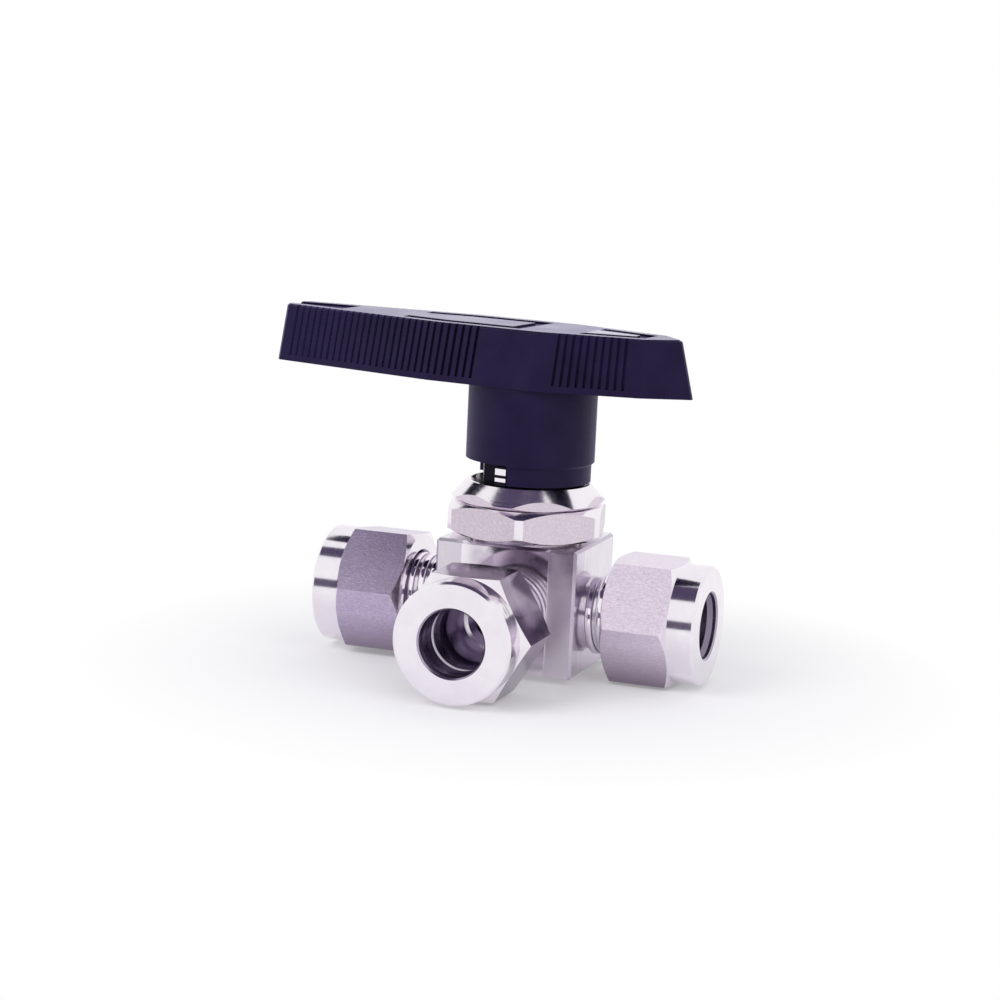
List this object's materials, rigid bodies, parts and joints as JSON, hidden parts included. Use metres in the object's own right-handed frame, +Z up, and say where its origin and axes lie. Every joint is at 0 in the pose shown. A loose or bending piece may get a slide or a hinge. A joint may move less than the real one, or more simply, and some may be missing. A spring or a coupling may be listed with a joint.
{
  "type": "three-way ball valve",
  "caption": "Panel-mount three-way ball valve with compression tube ends on a square steel body, an L-port ball and a ribbed directional handle on a notched skirt.",
  "frame": {"origin": "the point where the axes of the three ports meet, at the centre of the ball", "axes": "+X out of the right port, -X out of the left port, -Y out of the front port, +Z up the stem to the handle"},
  "size_m": [0.0881, 0.0539, 0.064],
  "materials": {
    "body_steel": "fine brushed and polished stainless steel",
    "nut_steel": "brushed flats, polished collar",
    "panel_nut_steel": "satin stainless steel",
    "ferrule_steel": "bright turned stainless steel",
    "polished_steel": "polished stainless steel",
    "bolt_steel": "turned stainless steel",
    "seat_plastic": "white fluoropolymer",
    "handle_nylon": "moulded black nylon with a violet cast",
    "insert_brass": "machined brass",
    "screw_steel": "black oxide steel"
  },
  "bodies": {
    "valve_body": {"body": "body_steel", "panel_nut": "panel_nut_steel", "lock_nut": "panel_nut_steel", "lower_packing": "seat_plastic", "upper_packing": "seat_plastic", "stem_gland": "polished_steel", "stem_seal": "seat_plastic", "stem_bushing": "polished_steel", "packing_bolt": "bolt_steel", "stop_plate": "bolt_steel", "right_side_ring": "polished_steel", "left_side_ring": "polished_steel", "front_side_ring": "polished_steel", "right_side_disc": "polished_steel", "left_side_disc": "polished_steel", "front_side_disc": "polished_steel"},
    "ball_and_handle": {"ball_stem": "polished_steel", "handle": "handle_nylon", "handle_insert": "insert_brass", "handle_screw": "screw_steel"},
    "right_ferrule_pair": {"right_front_ferrule": "ferrule_steel", "right_back_ferrule": "ferrule_steel"},
    "right_tube_nut": {"right_nut": "nut_steel"},
    "left_ferrule_pair": {"left_front_ferrule": "ferrule_steel", "left_back_ferrule": "ferrule_steel"},
    "left_tube_nut": {"left_nut": "nut_steel"},
    "front_ferrule_pair": {"front_front_ferrule": "ferrule_steel", "front_back_ferrule": "ferrule_steel"},
    "front_tube_nut": {"front_nut": "nut_steel"}
  },
  "joints": [
    {"name": "handle_turn", "type": "hinge", "parent": "valve_body", "child": "ball_and_handle", "pos_m": [0, 0, 0], "axis": [0, 0, 1], "range_deg": [0, 90]},
    {"name": "right_nut_travel", "type": "slide", "parent": "valve_body", "child": "right_ferrule_pair", "axis": [1, 0, 0], "range_m": [0, 0.0025]},
    {"name": "right_nut_turn", "type": "hinge", "parent": "right_ferrule_pair", "child": "right_tube_nut", "pos_m": [0.028, 0, 0], "axis": [1, 0, 0], "range_deg": [0, 453]},
    {"name": "left_nut_travel", "type": "slide", "parent": "valve_body", "child": "left_ferrule_pair", "axis": [-1, 0, 0], "range_m": [-0.0025, 0]},
    {"name": "left_nut_turn", "type": "hinge", "parent": "left_ferrule_pair", "child": "left_tube_nut", "pos_m": [-0.028, 0, 0], "axis": [-1, 0, 0], "range_deg": [-453, 0]},
    {"name": "front_nut_travel", "type": "slide", "parent": "valve_body", "child": "front_ferrule_pair", "axis": [0, -1, 0], "range_m": [-0.0025, 0]},
    {"name": "front_nut_turn", "type": "hinge", "parent": "front_ferrule_pair", "child": "front_tube_nut", "pos_m": [0, -0.028, 0], "axis": [0, -1, 0], "range_deg": [-453, 0]}
  ],
  "couplings": [
    {"joint": "right_nut_turn", "follows": "right_nut_travel", "rad_per_m": 3141.6},
    {"joint": "left_nut_turn", "follows": "left_nut_travel", "rad_per_m": 3141.6},
    {"joint": "front_nut_turn", "follows": "front_nut_travel", "rad_per_m": 3141.6}
  ]
}
